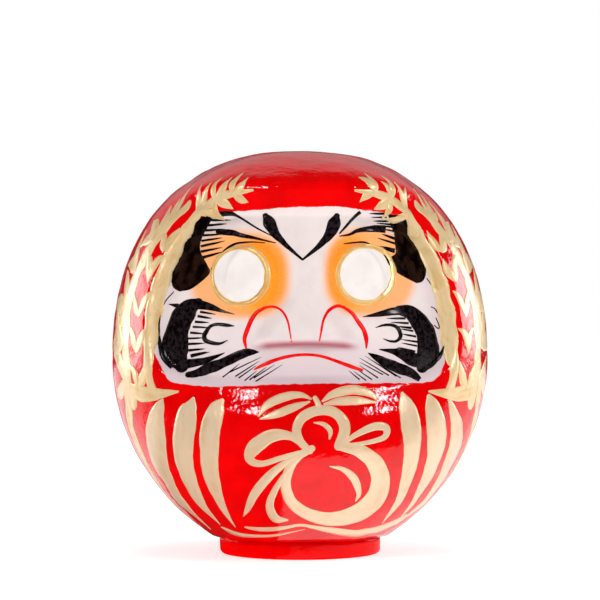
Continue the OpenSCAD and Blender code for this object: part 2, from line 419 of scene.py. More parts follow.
def drape_crown(x, y):
    """Point and normal of the crown below a point of the plan."""
    half = front_tree if y < 0 else rear_tree
    start = Vector((x, y, 2 * DOLL_H))
    return first_hit(half, start, Vector((0, 0, -1)), 1.5 * DOLL_H, (x, y, DOLL_H))


class Paint:
    """Strokes of one paint, gathered into one piece. Each is a closed strip that follows the shell."""

    # Depth of a stroke's underside, its lowest lift, what each next layer adds, and the layers
    sunk, lift, layer, layers = 0.3, 0.05, 0.02, 7
    column_gap = 2.6
    least_w = 0.15

    def __init__(self, drape, thick, gap=1.1, ragged=0.06):
        self.drape, self.thick, self.gap, self.ragged = drape, thick, gap, ragged
        self.verts, self.faces, self.strokes = [], [], 0
        self.values = {"across": [], "along": [], "stroke": []}

    def band(self, left, right):
        """A strip of paint between two rows of points of the same length."""
        widest = np.linalg.norm(right - left, axis=1).max()
        columns = max(3, 2 * round(widest / self.column_gap) + 1)
        lift = self.lift + self.layer * (self.strokes % self.layers)
        top, bottom = [], []
        run = 0
        for i, (a, b) in enumerate(zip(left, right)):
            run += np.linalg.norm(a - left[i - 1]) if i else 0
            for s in np.linspace(-1, 1, columns):
                place, normal = self.drape(*mix(a, b, (s + 1) / 2))
                top.append(place + normal * (lift + self.thick * (1 - abs(s) ** 3)))
                bottom.append(place - normal * self.sunk)
                self.values["across"].append(s)
                self.values["along"].append(run)
        self.values["across"] += self.values["across"][-len(top):]
        self.values["along"] += self.values["along"][-len(top):]
        self.values["stroke"] += [self.strokes * 7.3] * (2 * len(top))
        self.faces += slab_faces(len(left), columns, len(self.verts))
        self.verts += [list(p) for p in top + bottom]
        self.strokes += 1

    def stroke(self, points, blunt=True):
        """One touch of the brush through points (x, y, width), with round ends where it is wide."""
        path = spline(points, self.gap)
        path[:, 2] = np.maximum(path[:, 2], self.least_w)
        ends = unit(np.gradient(path[:, :2], axis=0))
        caps = [], []
        if blunt:
            for cap, i, way in ((caps[0], 0, -1), (caps[1], -1, 1)):
                for t in (0.5, 0.8, 0.95, 1):
                    reach = path[i, :2] + way * ends[i] * path[i, 2] / 2 * t
                    cap.append([*reach, path[i, 2] * math.sqrt(1.02 - t * t)])
        rows = [np.array(part).reshape(-1, 3) for part in (caps[0][::-1], path, caps[1])]
        path = np.vstack(rows)
        along = unit(np.gradient(path[:, :2], axis=0))
        side = np.stack([along[:, 1], -along[:, 0]], 1)
        wobble = [
            [noise.noise((i * self.gap / 5, 9.1 * edge, 3.7 * self.strokes)) for i in range(len(path))]
            for edge in (1, 2)
        ]
        half = path[:, 2] / 2 * (1 + self.ragged * 2 * np.array(wobble))
        self.band(path[:, :2] - side * half[0][:, None], path[:, :2] + side * half[1][:, None])

    def strokes_of(self, table):
        """A stroke for each list of points, with round ends where it starts wide."""
        for points in table:
            self.stroke(points, blunt=points[0][2] > 1)

    def fill(self, left, right):
        """A patch of paint between two edges that run from one end to the other."""
        edges = [spline(edge, self.gap) for edge in (left, right)]
        count = max(len(edge) for edge in edges)
        even = []
        for edge in edges:
            at = np.linspace(0, len(edge) - 1, count)
            even.append(np.stack([np.interp(at, range(len(edge)), edge[:, k]) for k in (0, 1)], 1))
        self.band(*even)

    def hair(self, root, tip, width):
        """A thin stroke that fades out at its tip."""
        middle = mix(np.array(root), np.array(tip), 0.6)
        self.stroke([(*root, width), (*middle, width * 0.75), (*tip, 0.2)], blunt=False)

    def comb(self, roots, tips, count, width):
        """Hairs from one line to another."""
        ends = [spline(line + line[-1:], self.gap) for line in (roots, tips)]
        for i in range(count):
            at = i / (count - 1)
            root, tip = (line[round(at * (len(line) - 1))] for line in ends)
            self.hair(root, mix(root, tip, random.uniform(0.85, 1.12)), width * random.uniform(0.8, 1.15))

    def leaf(self, x, y, heading, length, width, bend=0.16):
        """A leaf shaped touch. Heading 0 is up and 90 is towards larger x."""
        a = math.radians(heading)
        way, side = np.array([math.sin(a), math.cos(a)]), np.array([math.cos(a), -math.sin(a)])
        points = []
        for t, w in ((0, 0.3), (0.2, 0.8), (0.45, 1), (0.7, 0.75), (0.9, 0.32), (1, 0.08)):
            place = np.array([x, y]) + length * (way * t + side * bend * math.sin(math.pi * t))
            points.append((*place, width * w))
        self.stroke(points)

    def spray(self, x, y, headings, length, width):
        """Leaves that spread from one point."""
        for heading in headings:
            size = random.uniform(0.88, 1.12)
            self.leaf(x, y, heading, length * size, width * size, random.uniform(-0.2, 0.2))

    def culm(self, points, joints):
        """A bamboo stem: its segments flare towards the joints and stop short of each other."""
        path = spline(points, self.gap)
        cuts = np.linspace(0, len(path) - 1, joints + 1).round().astype(int)
        for a, b in zip(cuts, cuts[1:]):
            part = path[a + 1:b]
            flare = 1 + 0.3 * np.abs(np.linspace(-1, 1, len(part))) ** 4
            keep = np.linspace(0, len(part) - 1, max(3, len(part) // 4)).round().astype(int)
            self.stroke([(x, y, w * f) for (x, y, w), f in zip(part[keep], flare[keep])])

    def piece(self, name, coat, slot="lacquered_pulp"):
        finish_piece(to_object(name, self.verts, self.faces, self.values), coat, slot)


# ---------------- material nodes
def material(name, **sockets):
    """A Principled material with its plain sockets set, and its node tree."""
    mat = bpy.data.materials.new(name)
    mat.use_nodes = True
    shader = mat.node_tree.nodes["Principled BSDF"]
    for key, value in sockets.items():
        shader.inputs[key.replace("_", " ")].default_value = value
    return mat, mat.node_tree


def add(tree, kind, output=0, **settings):
    """A node's output. Settings are its properties, and its sockets as in_Name or in_number."""
    node = tree.nodes.new("ShaderNode" + kind)
    sockets = {key[3:]: value for key, value in settings.items() if key.startswith("in_")}
    for key, value in settings.items():
        if not key.startswith("in_"):
            setattr(node, key, value)
    for key, value in sockets.items():
        socket = node.inputs[int(key) if key.isdigit() else key.replace("_", " ")]
        if isinstance(value, bpy.types.NodeSocket):
            tree.links.new(value, socket)
        else:
            socket.default_value = value
    return node.outputs[output]


def own_place(tree):
    """The piece's own coordinates, in metres."""
    return add(tree, "TexCoord", "Object")


def stored(tree, name):
    """One of the numbers stored for each point of the mesh."""
    return add(tree, "Attribute", "Fac", attribute_name=name)


def grain(tree, size, detail=2.0, vector=None, roughness=0.5):
    """Noise from 0 to 1 whose blobs are about size millimetres."""
    vector = vector or own_place(tree)
    scale = 1 / (size * MM)
    return add(tree, "TexNoise", in_Vector=vector, in_Scale=scale, in_Detail=detail,
               in_Roughness=roughness)


def span(tree, source, low, high, first=0.0, last=1.0):
    """source moved from low..high to first..last, smoothly."""
    return add(tree, "MapRange", interpolation_type="SMOOTHSTEP", in_Value=source,
               in_1=low, in_2=high, in_3=first, in_4=last)


def plus(tree, a, b):
    return add(tree, "Math", operation="ADD", in_0=a, in_1=b)


def times(tree, a, b):
    return add(tree, "Math", operation="MULTIPLY", in_0=a, in_1=b)


def tint(tree, factor, first, last):
    """Colour between two colours, each a tuple or a socket."""
    return add(tree, "Mix", 2, data_type="RGBA", in_0=factor, in_6=first, in_7=last)


def rgb(red, green, blue):
    """Linear colour from screen values of 0 to 255."""
    line = [c / 255 / 12.92 if c < 11 else ((c / 255 + 0.055) / 1.055) ** 2.4 for c in (red, green, blue)]
    return (*line, 1)


def join(tree, output, socket):
    """Link an output to one of the shader's sockets."""
    tree.links.new(output, tree.nodes["Principled BSDF"].inputs[socket])


BOTH_NORMALS = ("Normal", "Coat Normal")


def bump(tree, height, depth, strength=1.0, sockets=("Normal",)):
    """Bump of depth millimetres on the shader."""
    normal = add(tree, "Bump", in_Height=height, in_Distance=depth * MM, in_Strength=strength)
    for socket in sockets:
        join(tree, normal, socket)


RED = rgb(234, 0, 2)
DEEP_RED = rgb(217, 0, 2)
GOFUN = rgb(233, 220, 217)
WHITE = (1, 1, 1, 1)


def lacquer_colour(tree, light, dark):
    """Red that pools a little deeper in soft patches."""
    return tint(tree, span(tree, grain(tree, 16, 3), 0.35, 0.7), light, dark)


def lacquer_relief(tree):
    """Brushed and dusty skin of the lacquer, as one height."""
    fine = times(tree, grain(tree, 1.6, 2), 0.45)
    return plus(tree, grain(tree, 4.5, 2), fine)


def make_lacquer(name, light, dark, gloss):
    """Lacquer between two reds, with gloss as the weight of its coat."""
    mat, tree = material(name, Specular_IOR_Level=0.0, Coat_Weight=gloss, Coat_Roughness=0.06)
    join(tree, lacquer_colour(tree, light, dark), "Base Color")
    join(tree, span(tree, grain(tree, 3, 3), 0.3, 0.8, 0.36, 0.5), "Roughness")
    bump(tree, lacquer_relief(tree), 0.3, sockets=BOTH_NORMALS)
    return mat


def make_face_paint():
    """Lacquer outside the face; inside, matt white ground, sprayed colour, painted shade and shadow."""
    mat, tree = material("face_paint", Specular_IOR_Level=0.0, Coat_Roughness=0.06)
    edge = plus(tree, stored(tree, "face_in"), span(tree, grain(tree, 4), 0.2, 0.8, -0.35, 0.35))
    inside = span(tree, edge, -0.25, 0.25)
    cloud = span(tree, grain(tree, 12, 4), 0.35, 0.75)
    ground = tint(tree, cloud, GOFUN, rgb(226, 212, 211))
    # Painted shade: lilac grey over the white ground near the face's walls and chin
    ground = tint(tree, stored(tree, "painted_shade"), ground, rgb(214, 194, 199))
    speck = grain(tree, 0.9, 2)
    sprayed = times(tree, stored(tree, "blush"), span(tree, speck, 0.2, 0.8, 0.92, 1.04))
    warm = tint(tree, span(tree, stored(tree, "glow"), 0, 1), rgb(255, 170, 98), rgb(255, 148, 26))
    skin = tint(tree, sprayed, ground, warm)
    # Painted shadow under the nose, in dark pink
    skin = tint(tree, stored(tree, "painted_nose_shadow"), skin, rgb(172, 84, 100))
    eye = span(tree, stored(tree, "eye_in"), -0.2, 0.2)
    skin = tint(tree, eye, skin, tint(tree, cloud, rgb(242, 234, 229), rgb(234, 223, 219)))
    join(tree, tint(tree, inside, lacquer_colour(tree, RED, DEEP_RED), skin), "Base Color")
    join(tree, span(tree, inside, 0, 1, 0.42, 0.62), "Roughness")
    join(tree, span(tree, inside, 0, 1, 1.0, 0.0), "Coat Weight")
    smooth = times(tree, lacquer_relief(tree), span(tree, inside, 0, 1, 1.0, 0.3))
    bump(tree, smooth, 0.3, sockets=BOTH_NORMALS)
    return mat


def make_gold(name, light, dark, rim):
    """Brushed gold paint, streaked along the stroke, thinner in places, with a painted highlight on its
    edges.
    """
    mat, tree = material(name, Metallic=0.25, Coat_Weight=0.6, Coat_Roughness=0.12)
    vector = add(tree, "CombineXYZ", in_X=times(tree, stored(tree, "along"), 0.04),
                 in_Y=times(tree, stored(tree, "across"), 1.1), in_Z=stored(tree, "stroke"))
    streaks = add(tree, "TexNoise", in_Vector=vector, in_Scale=1.0, in_Detail=4.0)
    body = tint(tree, span(tree, streaks, 0.3, 0.72), light, dark)
    body = tint(tree, span(tree, grain(tree, 8, 4), 0.35, 0.65, 0.0, 0.75), body, light)
    thin = times(tree, span(tree, grain(tree, 5, 4), 0.66, 0.8), span(tree, streaks, 0.45, 0.7, 0.0, 0.6))
    body = tint(tree, thin, body, rgb(250, 120, 70))
    # Paler rim along each stroke's edges: a painted highlight of the raised paint edge
    edge = add(tree, "Math", operation="ABSOLUTE", in_0=stored(tree, "across"))
    join(tree, tint(tree, span(tree, edge, 0.72, 0.95, 0.0, 0.7), body, rim), "Base Color")
    join(tree, span(tree, streaks, 0.3, 0.7, 0.3, 0.44), "Roughness")
    height = plus(tree, grain(tree, 3.2, 3), times(tree, streaks, 0.6))
    bump(tree, height, 0.3, 0.8, BOTH_NORMALS)
    return mat


def make_brush_paint(name, thin, thick, blob, roughness):
    """Glossy paint that varies between its thin and thick colour."""
    mat, tree = material(name, Specular_IOR_Level=0.0, Coat_Weight=0.35, Coat_Roughness=0.15)
    pooled = span(tree, grain(tree, blob, 4), 0.38, 0.62)
    join(tree, tint(tree, pooled, thin, thick), "Base Color")
    join(tree, span(tree, pooled, 0, 1, roughness + 0.12, roughness), "Roughness")
    bump(tree, grain(tree, 1.4, 3), 0.1, 0.6)
    return mat


def make_clay():
    mat, tree = material("air_dried_clay", Roughness=0.9)
    join(tree, tint(tree, grain(tree, 6, 5), rgb(150, 112, 80), rgb(188, 156, 120)), "Base Color")
    join(tree, span(tree, grain(tree, 2, 3), 0.2, 0.8, 0.8, 0.98), "Roughness")
    bump(tree, grain(tree, 2.5, 6), 0.6)
    return mat


def make_paper():
    """Pale washi with long fibres."""
    mat, tree = material("washi_paper", Roughness=0.85)
    stretched = add(tree, "Mapping", in_Vector=own_place(tree), in_Scale=(1, 0.12, 1))
    fibre = span(tree, grain(tree, 0.5, 4, stretched), 0.5, 0.7)
    join(tree, tint(tree, fibre, rgb(238, 230, 212), rgb(214, 200, 174)), "Base Color")
    join(tree, span(tree, fibre, 0, 1, 0.8, 0.92), "Roughness")
    bump(tree, fibre, 0.08)
    return mat


lacquer = make_lacquer("red_lacquer", RED, DEEP_RED, 1.0)
# The foot's lacquer is the body's red made brighter: painted light against the shade under the belly
brightened_foot_red = make_lacquer("foot_lacquer", rgb(255, 0, 2), rgb(246, 0, 2), 0.3)
face_paint = make_face_paint()
# The last colour of each gold is its paler stroke edge, a painted highlight
gold = make_gold("gold_paint", rgb(243, 214, 178), rgb(234, 196, 152), rgb(250, 222, 176))
side_gold = make_gold("side_gold", rgb(248, 216, 166), rgb(226, 184, 112), rgb(252, 226, 170))
ring_gold = make_gold("ring_gold", rgb(250, 205, 128), rgb(222, 156, 66), rgb(255, 232, 182))
ink = make_brush_paint("ink", rgb(34, 26, 30), rgb(7, 3, 3), 2.2, 0.3)
wet_ink = make_brush_paint("brow_ink", rgb(38, 20, 14), rgb(5, 2, 2), 6, 0.22)
line_red = make_brush_paint("line_red", rgb(246, 30, 26), rgb(232, 2, 6), 3, 0.35)

# ---------------- painted areas of the front
FACE_EDGE = [
    (0, 205.5), (-33, 203), (-51, 201), (-59.5, 198.5), (-67, 193), (-72, 186), (-77, 174), (-81, 163),
    (-86, 152.5), (-88.5, 137), (-89, 122.5), (-86.5, 118), (-80.5, 106.5), (-77.5, 102), (-71.5, 100),
    (-46.5, 98.5), (0, 100), (62.5, 100.5), (76, 101), (81.5, 103.5), (85, 109), (88, 122.5),
    (87, 132), (86, 146.5), (84.5, 156), (81.5, 165.5), (76.5, 175), (71.5, 184), (67, 190.5),
    (62, 196.5), (50.5, 202), (38.5, 203.5), (23.5, 205.5), (0, 205.5),
]
EYES = {-1: (-35.9, 164.4), 1: (39.1, 165.3)}
EYE_SIZE = (15.2, 15.6)
# How far the sprayed orange reaches from each eye: to the nose, to the side, up, down
BLUSH_REACH = {-1: (31.5, 31, 28, 27), 1: (26, 31, 29, 26)}
BLUSH_POWER = 2.6
# The painted shadow under the nose: height of its middle, droop of its ends, where it ends, its thickness
NOSE_SHADOW_Z = 123.6
NOSE_SHADOW_DROP = 2.2
NOSE_SHADOW_X = (-30, 38)
NOSE_SHADOW_H = 2
# Width of the painted shade along the rim of the face
SHADE_W = 16


def to_view(points):
    """Places of points on the picture plane."""
    scale = VIEW_DISTANCE * math.cos(turn) / (points[:, 1] - EYE.y)
    return EYE.x + (points[:, 0] - EYE.x) * scale, EYE.z + (points[:, 2] - EYE.z) * scale


def inset_of(outline, x, y):
    """Distance inside a closed outline, negative outside it."""
    a = spline(outline, 3)
    b = np.roll(a, -1, axis=0)
    best = np.full(len(x), 1e9)
    inside = np.zeros(len(x), bool)
    for (ax, ay), (bx, by) in zip(a, b):
        run, rise = bx - ax, by - ay
        t = np.clip(((x - ax) * run + (y - ay) * rise) / max(run * run + rise * rise, 1e-9), 0, 1)
        best = np.minimum(best, np.hypot(x - ax - run * t, y - ay - rise * t))
        crosses = ((ay > y) != (by > y)) & (x < ax + run * (y - ay) / (rise or 1e-9))
        inside ^= crosses
    return np.where(inside, best, -best)


def painted_areas(points):
    """The masks of the front's paint at each point."""
    x, y = to_view(points)
    eye_in = np.full(len(x), -99.0)
    blush = np.zeros(len(x))
    glow = np.zeros(len(x))
    for side, (ex, ey) in EYES.items():
        dx, dy = (x - ex) * side, y - ey
        away = np.hypot(dx / EYE_SIZE[0], dy / EYE_SIZE[1])
        eye_in = np.maximum(eye_in, (1 - away) * EYE_SIZE[0])
        to_nose, to_side, up, down = BLUSH_REACH[side]
        across = np.where(dx < 0, dx / to_nose, dx / to_side)
        updown = np.where(dy > 0, dy / up, dy / down)
        reach = (np.abs(across) ** BLUSH_POWER + np.abs(updown) ** BLUSH_POWER) ** (1 / BLUSH_POWER)
        strength = mix(1.0, 0.92, blend((dx + 4) / 26))
        blush = np.maximum(blush, blend((1.06 - reach) / 0.24) * strength)
        glow = np.maximum(glow, blend((10 - dx) / 26) * blend((1.1 - reach) / 0.5))
    # Painted shadow: a dark pink arch along the underside of the nose
    first, last = NOSE_SHADOW_X
    middle = (first + last) / 2
    arch = NOSE_SHADOW_Z - NOSE_SHADOW_DROP * ((x - middle) / (last - middle)) ** 2
    painted_nose_shadow = 0.95 * bell(y - arch, NOSE_SHADOW_H) * blend((x - first) / 12) * blend((last - x) / 12)
    face_in = inset_of(FACE_EDGE, x, y)
    # Painted shade: greyer towards the rim of the sunken face and towards the chin, where the recess is in
    # shade
    rim = blend((SHADE_W - face_in) / SHADE_W) * blend((FACE_TOP - SHADE_W / 2 - y) / SHADE_W)
    painted_shade = np.maximum(rim, 0.75 * blend((FACE_BOTTOM + 34 - y) / 30))
    return dict(face_in=face_in, eye_in=eye_in, blush=blush, glow=glow, painted_nose_shadow=painted_nose_shadow, painted_shade=painted_shade)


front = to_object("front_lacquer", front_points, front_faces, painted_areas(front_points))
rear = to_object("rear_lacquer", rear_points, rear_faces)
finish_piece(front, face_paint, "lacquered_pulp", "front_shell")
finish_piece(rear, lacquer, "lacquered_pulp", "rear_shell")

# ---------------- ink on the face
brows = Paint(drape_view, 0.12, gap=1.0, ragged=0.03)
brows.fill(
    [(-51.5, 202), (-59.5, 199), (-69.5, 192.5), (-71.5, 184), (-74, 178), (-76, 168.5), (-76.5, 161),
     (-75, 157), (-71.5, 155)],
    [(-50, 202), (-53, 197), (-56, 191.5), (-58, 187.5), (-59.5, 182), (-58.5, 177), (-55, 170.5),
     (-54, 165.5), (-64, 157), (-71.5, 155)],
)
brows.fill(
    [(52.5, 201), (53.5, 196), (56, 189.5), (56.5, 184), (57, 178), (53.5, 174.5), (56, 168), (60, 165),
     (65.5, 162), (69.5, 160)],
    [(61, 200.5), (64, 197.5), (65.5, 193), (69, 185.5), (73, 178), (75, 170.5), (75, 165), (73, 161),
     (69.5, 160)],
)
brows.stroke([(64.5, 194, 1.8), (66, 192.5, 3), (70, 186, 2.7), (75, 177.5, 1.8), (79, 169, 0.6)])
brows.piece("brow_ink", wet_ink)

FACE_STROKES = [
    # Left brow: arch, second band and lash
    [(-58, 190.5, 2.4), (-57, 196.5, 3.6), (-53, 200, 3.6), (-42.5, 201.5, 3), (-36.5, 199.5, 1.5),
     (-26, 193, 1.1), (-15.5, 187.5, 0.5)],
    [(-48.5, 190.5, 3.3), (-40.5, 190, 3.6), (-35, 188.5, 2.7), (-27.5, 187, 1.8), (-14.5, 184, 0.5)],
    [(-52.5, 168.5, 1.2), (-47, 177, 1.5), (-39.5, 183, 1.4), (-30, 184.5, 0.9), (-21, 184, 0.5)],
    # Right brow
    [(23.5, 189.5, 0.9), (27.5, 194, 1.5), (32, 199, 1.8), (36, 202.5, 2.1)],
    [(23.5, 188, 0.6), (29.5, 189, 1.5), (35, 191.5, 2.4), (45, 192.5, 4.2), (51, 192, 4.2)],
    [(26, 183.5, 0.5), (37, 184.5, 1.1), (42, 183, 0.7), (48.5, 179, 0.8), (51.5, 175.5, 1.5),
     (54, 171.5, 2.4), (56.5, 168, 1.2)],
    # Drops between the brows
    [(-20.5, 200, 3.6), (-18.5, 196.5, 7.7), (-16.5, 192.5, 6.6), (-13.5, 188, 4.5), (-6, 180.5, 2.3),
     (1.5, 174, 1.2)],
    [(22, 200, 3.6), (20.5, 196, 7.7), (18.5, 191, 6.8), (15.5, 186.5, 4.8), (9.5, 180.5, 2.7),
     (1.5, 174, 1.2)],
    # Left jaw and beard
    [(-75, 155, 0.5), (-80.5, 148.5, 0.8), (-83.5, 139, 1.2), (-84, 131.5, 1.5), (-83.5, 125, 2.4),
     (-81, 116, 3.6), (-76.5, 109.5, 1.8)],
    [(-60.5, 148.5, 5.4), (-65.5, 145.5, 10.7), (-70, 139.5, 13.1), (-73, 132, 13.7), (-74.5, 124, 15.5),
     (-73.5, 116.5, 14.3), (-70.5, 111, 8.3)],
    [(-63.5, 147.5, 5.4), (-55.5, 146.5, 4.8), (-46.5, 143.5, 1.8), (-39, 141.5, 0.3)],
    [(-73, 146.5, 3), (-78, 147.5, 0.3)],
    [(-67, 112, 5.4), (-58, 113.5, 4.2), (-51, 116, 2.4), (-45, 118.5, 0.5)],
    [(-39, 134.5, 0.4), (-44, 135, 2.1), (-49, 135.5, 1.8), (-53, 134.5, 1.8), (-55.5, 131.5, 2.4),
     (-57, 128.5, 2.7), (-55.5, 125.5, 2.7), (-48.5, 124, 1.8), (-43, 126, 0.4)],
    [(-66.5, 105.5, 3.6), (-61, 106.5, 4.8), (-54, 109.5, 6.6), (-46, 112.5, 6), (-34, 118, 5.4),
     (-28.5, 119, 3.6), (-24.5, 119, 0.4)],
    # Right jaw and beard
    [(75.5, 163, 0.6), (80.5, 156, 0.6), (82.5, 152.5, 0.5)],
    [(78, 146, 0.5), (81, 144, 0.7), (85.5, 135, 0.8), (86.5, 125.5, 1), (85.5, 121, 1.5), (83, 116, 2.4),
     (79.5, 112, 1.2)],
    [(80, 135, 0.5), (82.5, 133, 0.7), (83, 134.5, 0.7), (81, 139.5, 0.5)],
    [(59, 144, 5.4), (65.5, 142.5, 8.3), (70.5, 137.5, 10.1), (74.5, 131.5, 11.3), (76, 124.5, 11.9),
     (76.5, 116.5, 13.1), (73, 110, 7.1)],
    [(63, 143.5, 5.1), (54, 143, 4.5), (47, 141.5, 3), (37.5, 140, 0.3)],
    [(76, 113.5, 8.3), (67.5, 114.5, 8.3), (60.5, 118, 6), (54.5, 119.5, 3), (47.5, 120.5, 0.6)],
    [(45, 133.5, 0.4), (50, 135, 1.5), (55, 135, 1.8), (58.5, 133, 2.4), (60, 128.5, 2.4),
     (57.5, 125.5, 1.6), (53.5, 125.5, 1.3), (49.5, 127, 0.4)],
    [(40.5, 118.5, 0.4), (45, 116, 3.6), (50.5, 113, 5.4), (58.5, 109.5, 6.6), (66, 106.5, 5.4),
     (71.5, 102.5, 3)],
]
features = Paint(drape_view, 0.1, gap=0.9, ragged=0.05)
features.strokes_of(FACE_STROKES)
features.piece("face_ink", ink)

hairs = Paint(drape_view, 0.06, gap=1.2, ragged=0.1)
hairs.comb([(-53, 197.5), (-58, 187.5), (-59, 180), (-58, 175)],
           [(-41.5, 197.5), (-44, 190.5), (-45, 186), (-46.5, 178.5)], 9, 1.4)
hairs.comb([(-59.5, 143), (-62.5, 137), (-67, 125), (-65, 116.5)],
           [(-50.5, 141.5), (-53, 136.5), (-57.5, 125.5), (-54, 119)], 10, 1.5)
hairs.comb([(50.5, 201.5), (55, 193.5)], [(42, 201.5), (45, 194.5)], 6, 1.2)
hairs.comb([(56, 191), (57, 183.5), (56.5, 178.5)], [(50.5, 192), (46.5, 186), (47, 181.5)], 5, 1.4)
hairs.comb([(63, 139), (67.5, 131.5), (70, 125), (68.5, 118.5)],
           [(52, 139), (60, 132), (60.5, 125.5), (57.5, 121.5)], 9, 1.4)
# Roots and tips
WHISKERS = [
    (-42, 107, -23, 116), (-38.5, 104.5, -24.5, 113.5), (-36.5, 103.5, -26, 111), (-33, 102, -25.5, 108),
    (-27.5, 103.5, -15, 111.5), (-26.5, 101.5, -10.5, 111.5), (53, 105, 35.5, 115.5),
    (49.5, 105.5, 35.5, 113), (46.5, 103.5, 35.5, 111), (57.5, 104.5, 39, 116.5), (43, 102.5, 33.5, 109),
    (39.5, 102, 32, 107.5), (35.5, 102.5, 29, 108), (60, 103.5, 47, 112), (-46, 104, -36, 112),
    (-30, 102.5, -20, 110),
]
for whisker in WHISKERS:
    hairs.hair(whisker[:2], whisker[2:], 0.8)
hairs.piece("hair_ink", ink)

RED_LINES = [
    # Left and right wing of the nose
    [(-32, 121, 1.2), (-33, 126.5, 2.4), (-31.5, 132, 2.7), (-28.5, 139, 2.7), (-24.5, 143.5, 2.1),
     (-18, 146, 1.5), (-12, 144.5, 1.4), (-7.5, 138, 1.3), (-5, 125, 0.7)],
    [(11.5, 125.5, 0.8), (12.5, 130.5, 1.2), (14, 138, 1.5), (17.5, 144, 1.9), (23.5, 146.5, 2),
     (30, 143, 2.1), (34, 138, 2.4), (38, 132, 2.7), (39.5, 126.5, 2.4), (39.5, 121, 0.9)],
    # Mouth
    [(-27.5, 108.5, 0.9), (-20.5, 112, 2.3), (-12.5, 115, 2), (-3, 117, 1.8), (5, 117.4, 1.7),
     (13, 116.4, 1.7), (21, 113.8, 1.9), (29, 110.8, 2.3), (37.5, 108, 1.8)],
]
lines = Paint(drape_view, 0.1, gap=0.9)
for points in RED_LINES:
    lines.stroke(points, blunt=False)
lines.piece("nose_and_mouth_lines", line_red)

# ---------------- gold around the eyes
RING_GAP = 1.4
RING_W = 2.9
RING_STEPS = 16
RING_FROM = 200
rings = Paint(drape_view, 0.22, gap=1.0, ragged=0.12)
for ex, ey in EYES.values():
    loop = []
    for i in range(RING_STEPS + 1):
        a = math.radians(360 / RING_STEPS * i + RING_FROM)
        reach = RING_GAP + 0.25 * math.sin(2 * a)
        width = RING_W + 0.8 * max(0, math.cos(a)) - 0.5 * max(0, math.sin(a - 0.6))
        x, y = ex + (EYE_SIZE[0] + reach) * math.cos(a), ey + (EYE_SIZE[1] + reach) * math.sin(a)
        loop.append((x, y, width))
    rings.stroke(loop)
rings.piece("eye_rings", ring_gold)

# ---------------- gold on the belly
BELLY_STRIPES = [
    [(-81.5, 91.5, 0.6), (-83.5, 87, 6), (-85.5, 81, 8.9), (-86, 72, 11.6), (-84.5, 59, 10.4),
     (-82, 50.5, 8), (-78, 42.5, 5.6), (-73.5, 34, 4.4), (-67.5, 27, 3), (-62, 21.5, 1.4),
     (-53, 13.5, 0.3)],
    [(-63.5, 91.5, 1.8), (-65, 87, 7.7), (-67, 83, 11.5), (-69, 70.5, 12.9), (-69.5, 63, 12.1),
     (-69, 55.5, 10.7), (-67, 47, 8.9), (-63.5, 38, 7.1), (-59.5, 30.5, 5.1), (-56, 25.5, 3),
     (-47.5, 16.5, 0.3)],
    [(-46.5, 90, 3), (-48, 88, 6.6), (-50, 84, 10.1), (-53.5, 72.5, 12.1), (-54, 58.5, 10.8),
     (-53.5, 49, 9.8), (-51.5, 41, 8.2), (-49, 34, 6), (-45.5, 26, 3.7), (-42, 20, 1.8),
     (-38.5, 15, 0.3)],
    [(61, 94.5, 1.8), (63, 88.5, 8.3), (65, 81.5, 11), (66.5, 72.5, 11.6), (67, 64.5, 10.1),
     (66, 54, 8.8), (64.5, 47, 7.6), (62.5, 40, 6), (59.5, 31.5, 4.2), (56, 26, 2.7), (49, 17, 0.3)],
    [(77, 92.5, 3), (78.5, 88.5, 7.7), (80.5, 80, 11), (81.5, 71, 11.8), (81, 62.5, 10.4), (80, 56.5, 8.3),
     (78, 50.5, 7.1), (75.5, 44, 5.7), (69.5, 33, 2.9), (66.5, 28, 1.9), (60, 20.5, 0.3)],
    [(88.5, 91, 0.9), (90, 88, 3), (93, 78.5, 6.6), (93.5, 72.5, 7), (93, 65.5, 7), (91, 59, 6.2),
     (88, 52, 5.1), (84.5, 44.5, 3.9), (76, 32, 1.9), (71, 27, 1.8), (59.5, 18, 0.5)],
]
HEM_WAVES = [
    [(-33, 15, 0.6), (-28, 14, 1.8), (-20.5, 13.5, 2.4), (-12, 14, 2.1), (0, 16, 1.5), (7, 15, 2.1),
     (14.5, 13.5, 3), (23.5, 12, 3.9), (33, 11, 4), (39.5, 12, 3.6), (46.5, 13.5, 3.3), (53, 16, 2.7),
     (58.5, 18.5, 2.4), (64, 22.5, 0.3)],
    [(-47, 15, 0.5), (-44, 13.5, 1.5), (-40, 11.5, 2.1), (-34, 10, 2.1), (-27, 9.5, 1.8), (-19, 9.5, 1.5),
     (-11, 10.5, 1.2), (3, 13.5, 0.3)],
]
